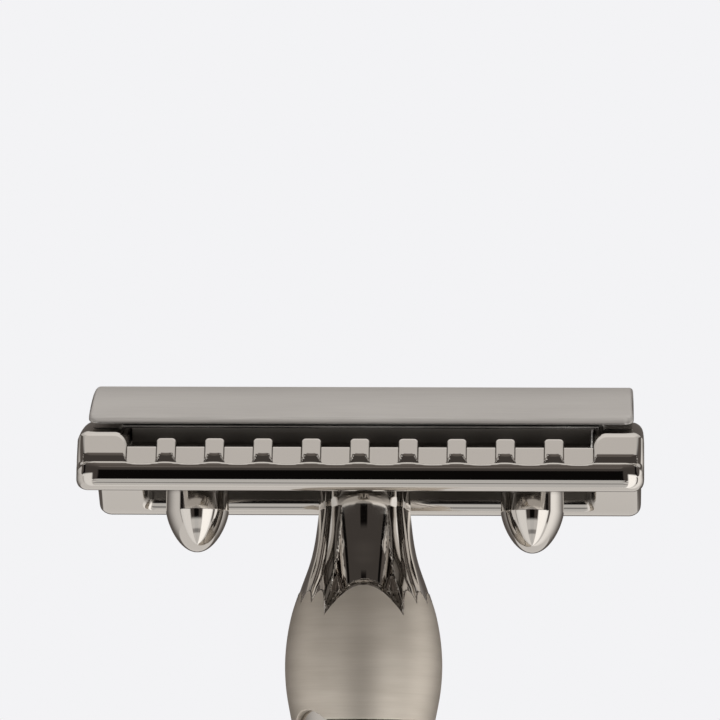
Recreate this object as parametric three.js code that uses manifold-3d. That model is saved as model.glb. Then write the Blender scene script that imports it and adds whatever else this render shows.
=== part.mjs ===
// A double-edge safety razor: a cap, a blade and a toothed base plate, screwed by one stud to a
// handle whose sections are stacked on a tie rod.
// Millimetres, +Z up, X along the blade, origin at the centre of the flat foot that it stands on.
import * as THREE from "three";
import { mergeVertices } from "three/addons/utils/BufferGeometryUtils.js";
import Module from "manifold-3d";

const wasm = await Module();
wasm.setup();

// ---- driving dimensions ----
const TOTAL_HEIGHT = 95;
const HEAD_HEIGHT = 9.28; // from the underside of the guard bars to the crown of the cap
const GUARD_Z = TOTAL_HEIGHT - HEAD_HEIGHT; // the head's own heights are measured from here
const PLATE_LENGTH = 44.4;
const PLATE_HALF_DEPTH = 12;
const REST_GAP = 0.06; // left between faces that touch

// Blade, and the arch that the cap bends it to.
const BLADE_LENGTH = 42.7;
const BLADE_EDGE_LENGTH = 37.3;
const BLADE_HALF_WIDTH = 10.3;
const BLADE_TAB_HALF_WIDTH = 6.6;
const BLADE_THICKNESS = 0.1;
const BLADE_CROWN = 7.2;
const BLADE_RADIUS = 25.5;
const SLOT_HALF_LENGTH = 18.2;
const SLOT_HALF_WIDTH = 1.15;
const SLOT_CLEARANCE = 0.3;

// Cap.
const CAP_LENGTH = 42.8;
const CAP_HALF_WIDTH = 9.9;
const CAP_EDGE_TOP = 5.7;
const CAP_CORNER_RADIUS = 0.9;
const SOCKET_GAP = 0.05;
const STUD_SEAT = 8.1;
const POST_SEAT = 7.9;

// Stud, posts and their lugs.
const THREAD_PITCH = 0.8;
const THREAD_TURNS = 8;
const STUD_RADIUS = 2.45;
const STUD_BORE = 2.55;
const STUD_CHAMFER = 0.5;
const POST_X = 13.4;
const POST_RADIUS = 1.25;
const POST_BORE = 1.4;
const POST_TIP = -1.2;
const POST_CHAMFER = 0.4;
const LUG_RADIUS = 2.52;
const LUG_SHOULDER = -1.1;
const LUG_TIP = -3.96;
const LUG_FULLNESS = 1.25; // how blunt the bullet nose is

// Base plate.
const PLATE_CROWN = 6.42;
const PLATE_RADIUS = 31;
const PLATE_CORNER_RADIUS = 1.3;
const BAR_TOP = 2.25;
const NECK_TOP = 3.35; // the handle's seat under the base plate
const TOOTH_COUNT = 9;
const TOOTH_PITCH = 3.79;
const TOOTH_WIDTH = 1.57;
const TOOTH_TOP = 4.2;
const NOTCH_TOP = 3.5;
const CHANNEL_INNER_Y = 8.1;
const CHANNEL_OUTER_Y = 10.35;
const CHANNEL_FLOOR = 2.7;
const POCKET_LENGTH = 36.6;
const POCKET_HALF_WIDTH = 9.75;
const POCKET_LEDGE = 2.05;
const ROOF_CROWN = 4.6;
const ROOF_RADIUS = 30;
const BOSS_RADIUS = 4.6;
const GAP_WIDTH = TOOTH_PITCH - TOOTH_WIDTH;
const COMB_LENGTH = TOOTH_COUNT * TOOTH_PITCH + GAP_WIDTH;

// Handle, from the head down.
const NECK_RADIUS = 3.62;
const BULB_TOP = -7.6;
const BULB_FOOT = -17.2;
const SPIGOT_RADIUS = 4.3;
const SPIGOT_FOOT = -13.5;
const STUD_BORE_FOOT = -4.5;
const ROD_TOP = -11.9;
const ROD_RADIUS = 2;
const ROD_BORE = 2.1;
const ROD_FOOT_Z = 2;
const SECTION_GAP = 0.1; // between the stacked sections
const RING_HEIGHT = 2.5;
const RING_RADIUS = 5.3;
const RING_WAIST = 4.75;
const GRIP_HEIGHT = 49.5;
const FOOT_FACE_RADIUS = 6.1;
const RECESS_RADIUS = 4.6; // the hollow under the pommel, for the washer, the nut and the foot disc
const RECESS_TOP_Z = 6.2;
const NUT_RADIUS = 4;
const NUT_Z = [2.2, 5];
const WASHER_RADIUS = 3.7;
const WASHER_Z = [5.1, 5.9];
const WASHER_SPLIT = 0.5;
const FOOT_DISC_HEIGHT = 1.4;

// ---- solids from three.js geometry ----
function solid(geometry) {
  const bare = geometry.clone();
  bare.deleteAttribute("normal");
  bare.deleteAttribute("uv");
  const merged = mergeVertices(bare, 1e-4);
  return new wasm.Manifold(
    new wasm.Mesh({
      numProp: 3,
      vertProperties: merged.attributes.position.array,
      triVerts: new Uint32Array(merged.index.array),
    }),
  );
}

function geometryOf(body) {
  const mesh = body.getMesh();
  const geometry = new THREE.BufferGeometry();
  geometry.setAttribute("position", new THREE.BufferAttribute(mesh.vertProperties, 3));
  geometry.setIndex(new THREE.BufferAttribute(mesh.triVerts, 1));
  const faceted = geometry.toNonIndexed();
  faceted.computeVertexNormals();
  return faceted;
}

// A profile of [radius, z] pairs, listed from the bottom up, turned about the Z axis.
function turned(profile, segments = 32) {
  const points = profile.map(([r, z]) => new THREE.Vector2(r, z));
  return solid(new THREE.LatheGeometry(points, segments).rotateX(Math.PI / 2));
}

function rod(radius, fromZ, toZ, segments = 32) {
  return turned([[0, fromZ], [radius, fromZ], [radius, toZ], [0, toZ]], segments);
}

function bored(body, radius, fromZ, toZ) {
  return body.subtract(rod(radius, fromZ, toZ, 24));
}

// A closed outline of [y, z] pairs, drawn out along X, centred on x.
function drawnAlongX(outline, length, x = 0) {
  const shape = new THREE.Shape(outline.map(([y, z]) => new THREE.Vector2(y, z)));
  const prism = new THREE.ExtrudeGeometry(shape, { depth: length, bevelEnabled: false });
  const yzToXyz = new THREE.Matrix4().makeBasis(
    new THREE.Vector3(0, 1, 0),
    new THREE.Vector3(0, 0, 1),
    new THREE.Vector3(1, 0, 0),
  );
  return solid(prism.applyMatrix4(yzToXyz).translate(x - length / 2, 0, 0));
}

function drawnUp(shape, fromZ, toZ) {
  const options = { depth: toZ - fromZ, bevelEnabled: false, curveSegments: 6 };
  return solid(new THREE.ExtrudeGeometry(shape, options).translate(0, 0, fromZ));
}

function roundedRectangle(width, height, radius) {
  const x = width / 2 - radius;
  const y = height / 2 - radius;
  const quarter = Math.PI / 2;
  const shape = new THREE.Shape();
  shape.absarc(x, y, radius, 0, quarter);
  shape.absarc(-x, y, radius, quarter, 2 * quarter);
  shape.absarc(-x, -y, radius, 2 * quarter, 3 * quarter);
  shape.absarc(x, -y, radius, 3 * quarter, 4 * quarter);
  return shape;
}

function block(sizeX, sizeY, sizeZ, x, y, z) {
  return solid(new THREE.BoxGeometry(sizeX, sizeY, sizeZ).translate(x, y, z));
}

const joined = (bodies) => bodies.reduce((all, body) => all.add(body));
const onBothSides = (make) => [-1, 1].map(make);
const steps = (count) => Array.from({ length: count + 1 }, (_, i) => i / count);

// ---- the head's arches ----
const arch = (crown, radius, y) => crown - radius + Math.sqrt(radius ** 2 - y ** 2);
const bladeUnder = (y) => arch(BLADE_CROWN, BLADE_RADIUS, y) - BLADE_THICKNESS / 2;
const bladeOver = (y) => bladeUnder(y) + BLADE_THICKNESS;

// Points [y, height(y)] from -halfWidth to halfWidth.
function archPoints(halfWidth, height, count = 16) {
  return steps(count).map((t) => {
    const y = halfWidth * (2 * t - 1);
    return [y, height(y)];
  });
}

// ---- cap, stud and posts ----
const CAP_RISE = HEAD_HEIGHT - CAP_EDGE_TOP;
const CAP_RADIUS = (CAP_HALF_WIDTH ** 2 + CAP_RISE ** 2) / (2 * CAP_RISE);

function capPlate() {
  const top = archPoints(CAP_HALF_WIDTH, (y) => arch(HEAD_HEIGHT, CAP_RADIUS, y), 20);
  const under = archPoints(CAP_HALF_WIDTH, (y) => bladeOver(y) + REST_GAP);
  const shell = drawnAlongX([...under, ...top.reverse()], CAP_LENGTH);
  const plan = roundedRectangle(CAP_LENGTH, 2 * CAP_HALF_WIDTH, CAP_CORNER_RADIUS);
  const sockets = [
    rod(STUD_RADIUS + SOCKET_GAP, 0, STUD_SEAT + SOCKET_GAP),
    ...onBothSides((side) =>
      rod(POST_RADIUS + SOCKET_GAP, 0, POST_SEAT + SOCKET_GAP).translate(side * POST_X, 0, 0)),
  ];
  return shell.intersect(drawnUp(plan, 0, TOTAL_HEIGHT)).subtract(joined(sockets));
}

// Turned by THREAD_TURNS, the stud lifts clear of the handle.
function capStud() {
  const tip = NECK_TOP - THREAD_PITCH * THREAD_TURNS;
  return turned([
    [0, tip],
    [STUD_RADIUS - STUD_CHAMFER, tip],
    [STUD_RADIUS, tip + STUD_CHAMFER],
    [STUD_RADIUS, STUD_SEAT],
    [0, STUD_SEAT],
  ]);
}

function locatingPost(side) {
  const post = turned([
    [0, POST_TIP],
    [POST_RADIUS - POST_CHAMFER, POST_TIP],
    [POST_RADIUS, POST_TIP + POST_CHAMFER],
    [POST_RADIUS, POST_SEAT],
    [0, POST_SEAT],
  ], 20);
  return post.translate(side * POST_X, 0, 0);
}

// ---- blade: a thin strip with cut corners and a slot that the stud and posts pass ----
function blade() {
  const outline = [
    ...archPoints(BLADE_HALF_WIDTH, bladeUnder, 20),
    ...archPoints(BLADE_HALF_WIDTH, bladeOver, 20).reverse(),
  ];
  const cornerLength = BLADE_LENGTH - BLADE_EDGE_LENGTH;
  const cornerWidth = 2 * (BLADE_HALF_WIDTH - BLADE_TAB_HALF_WIDTH);
  const corners = onBothSides((sideX) => joined(onBothSides((sideY) => block(
    cornerLength, cornerWidth, TOTAL_HEIGHT,
    (sideX * BLADE_LENGTH) / 2, sideY * BLADE_HALF_WIDTH, 0,
  ))));
  const slot = [
    block(2 * SLOT_HALF_LENGTH, 2 * SLOT_HALF_WIDTH, TOTAL_HEIGHT, 0, 0, 0),
    rod(STUD_RADIUS + SLOT_CLEARANCE, 0, TOTAL_HEIGHT),
    ...onBothSides((side) =>
      rod(POST_RADIUS + SLOT_CLEARANCE, 0, TOTAL_HEIGHT, 20).translate(side * POST_X, 0, 0)),
  ];
  return drawnAlongX(outline, BLADE_LENGTH).subtract(joined([...corners, ...slot]));
}

// ---- base plate: an arched plate, two guard bars with teeth, two lugs for the posts ----
// Half of the plate's section, from beside the crown out and down round the bar to mid-underside.
function plateHalfSection() {
  const shoulderY = 10.35;
  const top = steps(6).slice(1).map((t) => [
    shoulderY * t, arch(PLATE_CROWN, PLATE_RADIUS, shoulderY * t),
  ]);
  const face = [[10.68, 4.35], [10.78, 4.1], [11.12, 2.75], [11.2, 2.35]];
  const bar = [
    [11.6, BAR_TOP], [11.86, 2.08], [11.97, 1.7], [PLATE_HALF_DEPTH, 1.3], [11.93, 0.8],
    [11.7, 0.38], [11.35, 0.1], [10.95, 0], [10.5, 0.08],
  ];
  const underside = [[9.7, 0.75], [8, 1.85], [5, 2.75]];
  return [...top, ...face, ...bar, ...underside];
}

// One gap of the comb: a flatter, set-back face between two teeth.
function combGap(x) {
  const face = [[-10.72, 6], [-10.82, NOTCH_TOP], [-11.1, 2.3], [-11.6, 2.1], [-13, 2.1], [-13, 6]];
  const cut = drawnAlongX(face, GAP_WIDTH, x);
  return cut.add(block(GAP_WIDTH, 3, 2, x, -11, NOTCH_TOP + 1));
}

function comb() {
  const overTeeth = block(
    COMB_LENGTH, 3.4, 4, 0, -(CHANNEL_INNER_Y + 1.7), TOOTH_TOP + 2,
  );
  const channel = block(
    COMB_LENGTH, CHANNEL_OUTER_Y - CHANNEL_INNER_Y, 4,
    0, -(CHANNEL_INNER_Y + CHANNEL_OUTER_Y) / 2, CHANNEL_FLOOR + 2,
  );
  const gaps = Array.from({ length: TOOTH_COUNT + 1 }, (_, i) =>
    combGap((i - TOOTH_COUNT / 2) * TOOTH_PITCH));
  return joined([overTeeth, channel, ...gaps]);
}

function lug(side) {
  const nose = steps(8).map((t) => [
    LUG_RADIUS * Math.sqrt(1 - (1 - t) ** LUG_FULLNESS),
    LUG_TIP + (LUG_SHOULDER - LUG_TIP) * t,
  ]);
  const body = turned([...nose, [LUG_RADIUS, ROOF_CROWN + 0.4], [0, ROOF_CROWN + 0.4]], 28);
  return body.translate(side * POST_X, 0, 0);
}

function basePlate() {
  const half = plateHalfSection();
  const mirrored = half.map(([y, z]) => [-y, z]).reverse();
  const plan = roundedRectangle(PLATE_LENGTH, 2 * PLATE_HALF_DEPTH, PLATE_CORNER_RADIUS);
  const body = drawnAlongX([...half, ...mirrored], PLATE_LENGTH)
    .intersect(drawnUp(plan, -1, PLATE_CROWN + 1));

  const roof = archPoints(CHANNEL_INNER_Y, (y) => arch(ROOF_CROWN, ROOF_RADIUS, y), 12);
  const pocket = drawnAlongX([
    [-POCKET_HALF_WIDTH, -1],
    [POCKET_HALF_WIDTH, -1],
    [POCKET_HALF_WIDTH, POCKET_LEDGE],
    [CHANNEL_INNER_Y, POCKET_LEDGE],
    ...roof.reverse(),
    [-CHANNEL_INNER_Y, POCKET_LEDGE],
    [-POCKET_HALF_WIDTH, POCKET_LEDGE],
  ], POCKET_LENGTH);
  const platformHalfWidth = CHANNEL_INNER_Y - 0.1;
  const platformFoot = 4;
  const platform = drawnAlongX([
    [-platformHalfWidth, platformFoot],
    [platformHalfWidth, platformFoot],
    ...archPoints(platformHalfWidth, (y) => bladeUnder(y) - REST_GAP).reverse(),
  ], COMB_LENGTH);
  const boss = rod(BOSS_RADIUS, NECK_TOP + REST_GAP, ROOF_CROWN + 0.4);
  const bores = [
    rod(STUD_BORE, 0, TOTAL_HEIGHT),
    ...onBothSides((side) =>
      rod(POST_BORE, POST_TIP - 0.3, TOTAL_HEIGHT, 20).translate(side * POST_X, 0, 0)),
  ];
  return body
    .subtract(joined([comb(), comb().rotate([0, 0, 180]), pocket]))
    .add(joined([platform, boss, lug(-1), lug(1)]))
    .subtract(joined(bores));
}

// ---- handle ----
// A smooth curve through [radius, z] points, from the bottom up.
function smooth(points, count) {
  const curve = new THREE.SplineCurve(points.map(([r, z]) => new THREE.Vector2(r, z)));
  return curve.getPoints(count).map((p) => [p.x, p.y]);
}

// The outer line of the neck and bulb together, finely divided.
const FLARE = smooth([
  [5.76, BULB_FOOT], [6.18, -14.75], [6.27, -12.8], [6.06, -10.4], [5.77, -8.95], [5.15, -7],
  [4.33, -4.6], [3.77, -1.2], [NECK_RADIUS, 1], [NECK_RADIUS, NECK_TOP],
], 200);

function flareBetween(fromZ, toZ, count) {
  return steps(count).map((t) => {
    const height = fromZ + (toZ - fromZ) * t;
    const closer = (a, b) => (Math.abs(a[1] - height) < Math.abs(b[1] - height) ? a : b);
    return [FLARE.reduce(closer)[0], height];
  });
}

// The neck is turned in one with the spigot that the bulb is pressed on to.
function neck() {
  const outline = [
    [0, SPIGOT_FOOT], [SPIGOT_RADIUS, SPIGOT_FOOT], [SPIGOT_RADIUS, BULB_TOP + SECTION_GAP],
    ...flareBetween(BULB_TOP + SECTION_GAP, NECK_TOP - 0.3, 12),
    [NECK_RADIUS - 0.25, NECK_TOP], [0, NECK_TOP],
  ];
  const body = bored(turned(outline), STUD_BORE, STUD_BORE_FOOT, TOTAL_HEIGHT);
  return bored(body, ROD_BORE, SPIGOT_FOOT - 1, ROD_TOP + 0.3);
}

function bulb() {
  const outline = [[0, BULB_FOOT], ...flareBetween(BULB_FOOT, BULB_TOP, 12), [0, BULB_TOP]];
  const shell = bored(turned(outline), SPIGOT_RADIUS + SECTION_GAP, SPIGOT_FOOT - SECTION_GAP, 0);
  return bored(shell, ROD_BORE, BULB_FOOT - 1, 0);
}

const BULB_FOOT_Z = GUARD_Z + BULB_FOOT;
const UPPER_RING_Z = BULB_FOOT_Z - SECTION_GAP - RING_HEIGHT;
const GRIP_TOP_Z = UPPER_RING_Z - SECTION_GAP;
const GRIP_FOOT_Z = GRIP_TOP_Z - GRIP_HEIGHT;
const LOWER_RING_Z = GRIP_FOOT_Z - SECTION_GAP - RING_HEIGHT;
const POMMEL_TOP_Z = LOWER_RING_Z - SECTION_GAP;

// A short ring with a hollow, coved rim.
function covedRing(z) {
  const rim = 0.3;
  const top = z + RING_HEIGHT;
  const cove = smooth([
    [RING_RADIUS, z + rim], [RING_WAIST, z + RING_HEIGHT / 2], [RING_RADIUS, top - rim],
  ], 8);
  const outline = [[0, z], [RING_RADIUS, z], ...cove, [RING_RADIUS, top], [0, top]];
  return bored(turned(outline), ROD_BORE, 0, TOTAL_HEIGHT);
}

function grip() {
  const endTaper = 8;
  const side = smooth([
    [5.35, GRIP_FOOT_Z], [5.85, GRIP_FOOT_Z + endTaper], [6.15, (GRIP_FOOT_Z + GRIP_TOP_Z) / 2],
    [5.95, GRIP_TOP_Z - endTaper], [5.5, GRIP_TOP_Z],
  ], 18);
  const outline = [[0, GRIP_FOOT_Z], ...side, [0, GRIP_TOP_Z]];
  return bored(turned(outline), ROD_BORE, 0, TOTAL_HEIGHT);
}

function pommel() {
  const side = smooth([
    [FOOT_FACE_RADIUS + 0.3, 0.3], [6.85, 4], [6.8, 7.2], [6.1, POMMEL_TOP_Z - 2.4],
    [5.4, POMMEL_TOP_Z],
  ], 14);
  const outline = [[0, 0], [FOOT_FACE_RADIUS, 0], ...side, [0, POMMEL_TOP_Z]];
  const body = bored(turned(outline), ROD_BORE, 0, TOTAL_HEIGHT);
  return bored(body, RECESS_RADIUS, -1, RECESS_TOP_Z);
}

function springWasher() {
  const ring = bored(rod(WASHER_RADIUS, ...WASHER_Z), ROD_BORE + 0.15, 0, TOTAL_HEIGHT);
  const middleZ = (WASHER_Z[0] + WASHER_Z[1]) / 2;
  const split = block(2 * WASHER_RADIUS, WASHER_SPLIT, 2, WASHER_RADIUS, 0, 0);
  return ring.subtract(split.rotate([20, 0, 0]).translate(0, 0, middleZ));
}

function tieRodNut() {
  const corners = Array.from({ length: 6 }, (_, i) =>
    new THREE.Vector2(NUT_RADIUS, 0).rotateAround(new THREE.Vector2(), (i * Math.PI) / 3));
  return bored(drawnUp(new THREE.Shape(corners), ...NUT_Z), ROD_BORE, 0, TOTAL_HEIGHT);
}

// ---- finishes ----
function finish(name, color, metalness, roughness) {
  return Object.assign(new THREE.MeshStandardMaterial({ color, metalness, roughness }), { name });
}

const satinCap = finish("satin_cap", 0xa8a49e, 1, 0.4);
const polishedHead = finish("polished_head", 0x9c9792, 1, 0.08);
const polishedNeck = finish("polished_neck", 0x5c5657, 1, 0.06);
const satinHandle = finish("satin_handle", 0x98917f, 1, 0.4);
const bladeSteel = finish("blade_steel", 0xc8cacc, 1, 0.2);
const plainSteel = finish("plain_steel", 0x9a9c9e, 1, 0.35);

// ---- assembly ----
const razor = new THREE.Group();
const head = new THREE.Group();
head.position.z = GUARD_Z;
razor.add(head);

function add(parent, name, body, material) {
  const mesh = new THREE.Mesh(geometryOf(body), material);
  mesh.name = name;
  parent.add(mesh);
}

add(head, "cap_plate", capPlate(), satinCap);
add(head, "cap_stud", capStud(), plainSteel);
add(head, "locating_post_left", locatingPost(-1), plainSteel);
add(head, "locating_post_right", locatingPost(1), plainSteel);
add(head, "blade", blade(), bladeSteel);
add(head, "base_plate", basePlate(), polishedHead);
add(head, "neck", neck(), polishedNeck);
add(head, "bulb", bulb(), satinHandle);

add(razor, "upper_ring", covedRing(UPPER_RING_Z), polishedNeck);
add(razor, "grip", grip(), satinHandle);
add(razor, "lower_ring", covedRing(LOWER_RING_Z), polishedNeck);
add(razor, "pommel", pommel(), satinHandle);
add(razor, "tie_rod", rod(ROD_RADIUS, ROD_FOOT_Z, GUARD_Z + ROD_TOP, 20), plainSteel);
add(razor, "spring_washer", springWasher(), plainSteel);
add(razor, "tie_rod_nut", tieRodNut(), plainSteel);
add(razor, "foot_disc", rod(RECESS_RADIUS - SECTION_GAP, 0, FOOT_DISC_HEIGHT), polishedNeck);

export default razor;
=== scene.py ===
"""The safety razor's looks: polished head, satin cap and handle, in a soft white tent."""
import math

import bmesh
import bpy
import numpy as np
from mathutils import Matrix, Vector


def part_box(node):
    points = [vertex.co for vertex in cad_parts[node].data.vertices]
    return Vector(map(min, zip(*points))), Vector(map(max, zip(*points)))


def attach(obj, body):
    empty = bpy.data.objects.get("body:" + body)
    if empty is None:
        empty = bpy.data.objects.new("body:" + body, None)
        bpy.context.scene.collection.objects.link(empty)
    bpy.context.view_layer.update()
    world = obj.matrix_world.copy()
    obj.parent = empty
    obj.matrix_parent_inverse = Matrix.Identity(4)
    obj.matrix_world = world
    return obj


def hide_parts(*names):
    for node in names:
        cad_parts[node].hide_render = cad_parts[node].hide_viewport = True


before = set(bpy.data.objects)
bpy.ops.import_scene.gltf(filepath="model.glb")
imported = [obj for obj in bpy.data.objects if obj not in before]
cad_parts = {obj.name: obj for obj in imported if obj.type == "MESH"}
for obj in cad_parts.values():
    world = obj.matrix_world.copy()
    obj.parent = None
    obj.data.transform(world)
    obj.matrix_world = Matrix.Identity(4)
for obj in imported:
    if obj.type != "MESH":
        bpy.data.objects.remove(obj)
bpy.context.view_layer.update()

MM = 0.001

# ---- the frame's places, in millimetres ----


def low(node):
    return np.array(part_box(node)[0]) / MM


def high(node):
    return np.array(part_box(node)[1]) / MM


CAP_TOP = high("cap_plate")[2]
HEAD_HEIGHT = 9.28
GUARD_Z = CAP_TOP - HEAD_HEIGHT  # underside of the guard bars; the head is measured from here
PLATE_HALF_LENGTH = high("base_plate")[0]
PLATE_HALF_DEPTH = high("base_plate")[1]
CAP_HALF_LENGTH = high("cap_plate")[0]
CAP_HALF_WIDTH = high("cap_plate")[1]
NECK_TOP = high("neck")[2] - GUARD_Z
BULB_FOOT = low("bulb")[2] - GUARD_Z
SPIGOT_FOOT = low("neck")[2] - GUARD_Z
POST_X = (low("locating_post_right")[0] + high("locating_post_right")[0]) / 2
POST_RADIUS = (high("locating_post_right")[0] - low("locating_post_right")[0]) / 2
POST_TIP = low("locating_post_right")[2] - GUARD_Z
POST_SEAT = high("locating_post_right")[2] - GUARD_Z
STUD_RADIUS = high("cap_stud")[0]
STUD_TIP = low("cap_stud")[2] - GUARD_Z
STUD_SEAT = high("cap_stud")[2] - GUARD_Z
LUG_TIP = low("base_plate")[2] - GUARD_Z
STUD_CLEARANCE = 0.1
SMALL_EDGE = 0.12


# ---- meshes ----
def new_mesh(name, points, faces, metal, body, lift=GUARD_Z):
    """A mesh object from points in millimetres, riding on a body."""
    mesh = bpy.data.meshes.new(name)
    placed = (np.asarray(points, dtype=float) + (0, 0, lift)) * MM
    mesh.from_pydata(placed.tolist(), [], [list(f) for f in faces])
    mesh.materials.append(metal)
    piece = bpy.data.objects.new(name, mesh)
    bpy.context.scene.collection.objects.link(piece)
    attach(piece, body)
    return piece


def smooth(piece, angle):
    """Smooth shading, with edges sharper than an angle in degrees left crisp."""
    piece.data.shade_smooth()
    piece.data.set_sharp_from_angle(angle=math.radians(angle))


def tube_faces(rings, around):
    """Quads between rings of points, the last ring joined back to the first."""
    ring = np.arange(rings)[:, None] * around
    following = (np.arange(rings)[:, None] + 1) % rings * around
    side = np.arange(around)[None, :]
    beside = (side + 1) % around
    quads = np.stack([ring + side, ring + beside, following + beside, following + side], axis=-1)
    return quads.reshape(-1, 4)


def turned(name, profile, metal, body, lift=0.0, around=192, angle=34):
    """A closed loop of (radius, z) turned about Z; a point on the axis closes the solid there."""
    turn = np.arange(around) * 2 * math.pi / around
    points, start, faces = [], [], []
    for radius, z in profile:
        start.append(len(points))
        if radius == 0:
            points.append((0, 0, z))
        else:
            points += [(radius * math.cos(a), radius * math.sin(a), z) for a in turn]
    count = len(profile)
    closed = profile[0][0] != 0
    for i in range(count if closed else count - 1):
        j = (i + 1) % count
        for k in range(around):
            m = (k + 1) % around
            lower = [start[i]] if profile[i][0] == 0 else [start[i] + k, start[i] + m]
            upper = [start[j]] if profile[j][0] == 0 else [start[j] + m, start[j] + k]
            faces.append(lower + upper)
    piece = new_mesh(name, points, faces, metal, body, lift)
    smooth(piece, angle)
    return piece


def arc_points(centre, radius, start, end, count):
    """Points of an arc in (radius, z), angles in degrees."""
    angles = np.radians(np.linspace(start, end, count))
    return [(centre[0] + radius * math.cos(a), centre[1] + radius * math.sin(a)) for a in angles]


# ---- solids as distance fields: negative inside, in millimetres ----
def round_and(a, b, radius):
    """What is inside both, its edge rounded."""
    u = np.maximum(radius + a, 0)
    w = np.maximum(radius + b, 0)
    return np.minimum(-radius, np.maximum(a, b)) + np.sqrt(u * u + w * w)


def round_or(a, b, radius):
    """What is inside either, its inner corner filleted."""
    u = np.maximum(radius - a, 0)
    w = np.maximum(radius - b, 0)
    return np.maximum(radius, np.minimum(a, b)) - np.sqrt(u * u + w * w)


def round_rectangle(x, y, half_x, half_y, corner):
    qx = np.abs(x) - half_x + corner
    qy = np.abs(y) - half_y + corner
    outside = np.hypot(np.maximum(qx, 0), np.maximum(qy, 0))
    return outside + np.minimum(np.maximum(qx, qy), 0) - corner


def under_arch(y, z, crown, radius):
    """Negative below an arch whose crown is over y = 0."""
    return np.hypot(y, z - crown + radius) - radius


CORNERS = [(i, j, k) for i in (0, 1) for j in (0, 1) for k in (0, 1)]
EDGES = [(a, b) for a in CORNERS for b in CORNERS if a < b and sum(np.abs(np.subtract(a, b))) == 1]


NORMAL_STEP = 0.01
SNAP_ROUNDS = 3
LONGEST_SNAP = 0.1
LEAST_STEEPNESS = 0.1  # keeps a snap finite where the field is flat


def gradient(field, p):
    shifts = np.eye(3) * NORMAL_STEP
    sides = [field(*(p + s).T) - field(*(p - s).T) for s in shifts]
    return np.stack(sides, axis=1) / (2 * NORMAL_STEP)


def crossing_points(values, at, xs, ys, zs):
    """For each cell, the middle of the places where the surface crosses the cell's edges."""
    total = np.zeros((len(at), 3))
    hits = np.zeros(len(at))
    for a, b in EDGES:
        ca, cb = at + a, at + b
        va, vb = values[tuple(ca.T)], values[tuple(cb.T)]
        crossed = (va < 0) != (vb < 0)
        pa = np.stack([xs[ca[:, 0]], ys[ca[:, 1]], zs[ca[:, 2]]], axis=1)
        pb = np.stack([xs[cb[:, 0]], ys[cb[:, 1]], zs[cb[:, 2]]], axis=1)
        share = np.where(crossed, va / np.where(crossed, va - vb, 1), 0)[:, None]
        total += np.where(crossed[:, None], pa + share * (pb - pa), 0)
        hits += crossed
    return total / hits[:, None]


def snapped(field, points):
    """The points moved along the field's slope onto its zero surface."""
    for _ in range(SNAP_ROUNDS):
        slope = gradient(field, points)
        steepness = np.maximum((slope ** 2).sum(1), LEAST_STEEPNESS)[:, None]
        move = field(*points.T)[:, None] * slope / steepness
        points = points - np.clip(move, -LONGEST_SNAP, LONGEST_SNAP)
    return points


def net_quads(inside, index):
    """A quad round each grid edge that the surface crosses, wound to face outwards."""
    quads = []
    for axis in range(3):
        one, two = (axis + 1) % 3, (axis + 2) % 3
        near = inside.take(range(inside.shape[axis] - 1), axis=axis)
        far = inside.take(range(1, inside.shape[axis]), axis=axis)
        edge = np.argwhere(near != far)
        edge = edge[(edge[:, one] > 0) & (edge[:, two] > 0)]
        edge = edge[(edge[:, one] < index.shape[one]) & (edge[:, two] < index.shape[two])]
        solid_first = near[tuple(edge.T)]
        around = []
        for d_one, d_two in ((1, 1), (0, 1), (0, 0), (1, 0)):
            cell = edge.copy()
            cell[:, one] -= d_one
            cell[:, two] -= d_two
            around.append(index[tuple(cell.T)])
        loop = np.stack(around, axis=1)
        quads.append(np.where(solid_first[:, None], loop, loop[:, ::-1]))
    return np.concatenate(quads)


def surface_net(field, xs, ys, zs):
    """Points, normals and quads of a field's zero surface, on an uneven grid."""
    values = field(xs[:, None, None], ys[None, :, None], zs[None, None, :])
    values = np.broadcast_to(values, (len(xs), len(ys), len(zs)))
    inside = values < 0
    cells = tuple(n - 1 for n in values.shape)
    count = np.zeros(cells, dtype=np.int8)
    for i, j, k in CORNERS:
        count += inside[i:i + cells[0], j:j + cells[1], k:k + cells[2]]
    at = np.argwhere((count > 0) & (count < len(CORNERS)))
    index = np.full(cells, -1, dtype=np.int64)
    index[tuple(at.T)] = np.arange(len(at))

    points = snapped(field, crossing_points(values, at, xs, ys, zs))
    normals = gradient(field, points)
    normals /= np.linalg.norm(normals, axis=1)[:, None]
    return points, normals, net_quads(inside, index)


def cast(name, field, xs, ys, zs, metal, body):
    """A piece made from a field, shaded with the field's own normals."""
    points, normals, quads = surface_net(field, xs, ys, zs)
    piece = new_mesh(name, points, quads, metal, body)
    piece.data.shade_smooth()
    piece.data.normals_split_custom_set_from_vertices(normals.tolist())
    return piece


def grid_line(stops):
    """Coordinates from (place, spacing) stops: each spacing holds up to the next place."""
    line = []
    for (start, spacing), (end, _) in zip(stops, stops[1:]):
        count = max(1, round((end - start) / spacing))
        line += list(np.linspace(start, end, count, endpoint=False))
    return np.array(line + [stops[-1][0]])


def both_ways(line):
    return np.concatenate([-line[:0:-1], line])


# ---- materials ----
NOISE_LOW = 0.3  # a noise's values lie mostly between these
NOISE_HIGH = 0.7
CLOUD_SCALE = (90, 90, 90)
SMUDGE_SCALE = (160, 160, 160)
STROKE_HEIGHT = 0.0035


def material(name, color, roughness, metallic=1.0):
    made = bpy.data.materials.new(name)
    made.use_nodes = True
    shader = made.node_tree.nodes["Principled BSDF"]
    shader.inputs["Base Color"].default_value = (*color, 1)
    shader.inputs["Metallic"].default_value = metallic
    shader.inputs["Roughness"].default_value = roughness
    return made


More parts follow.
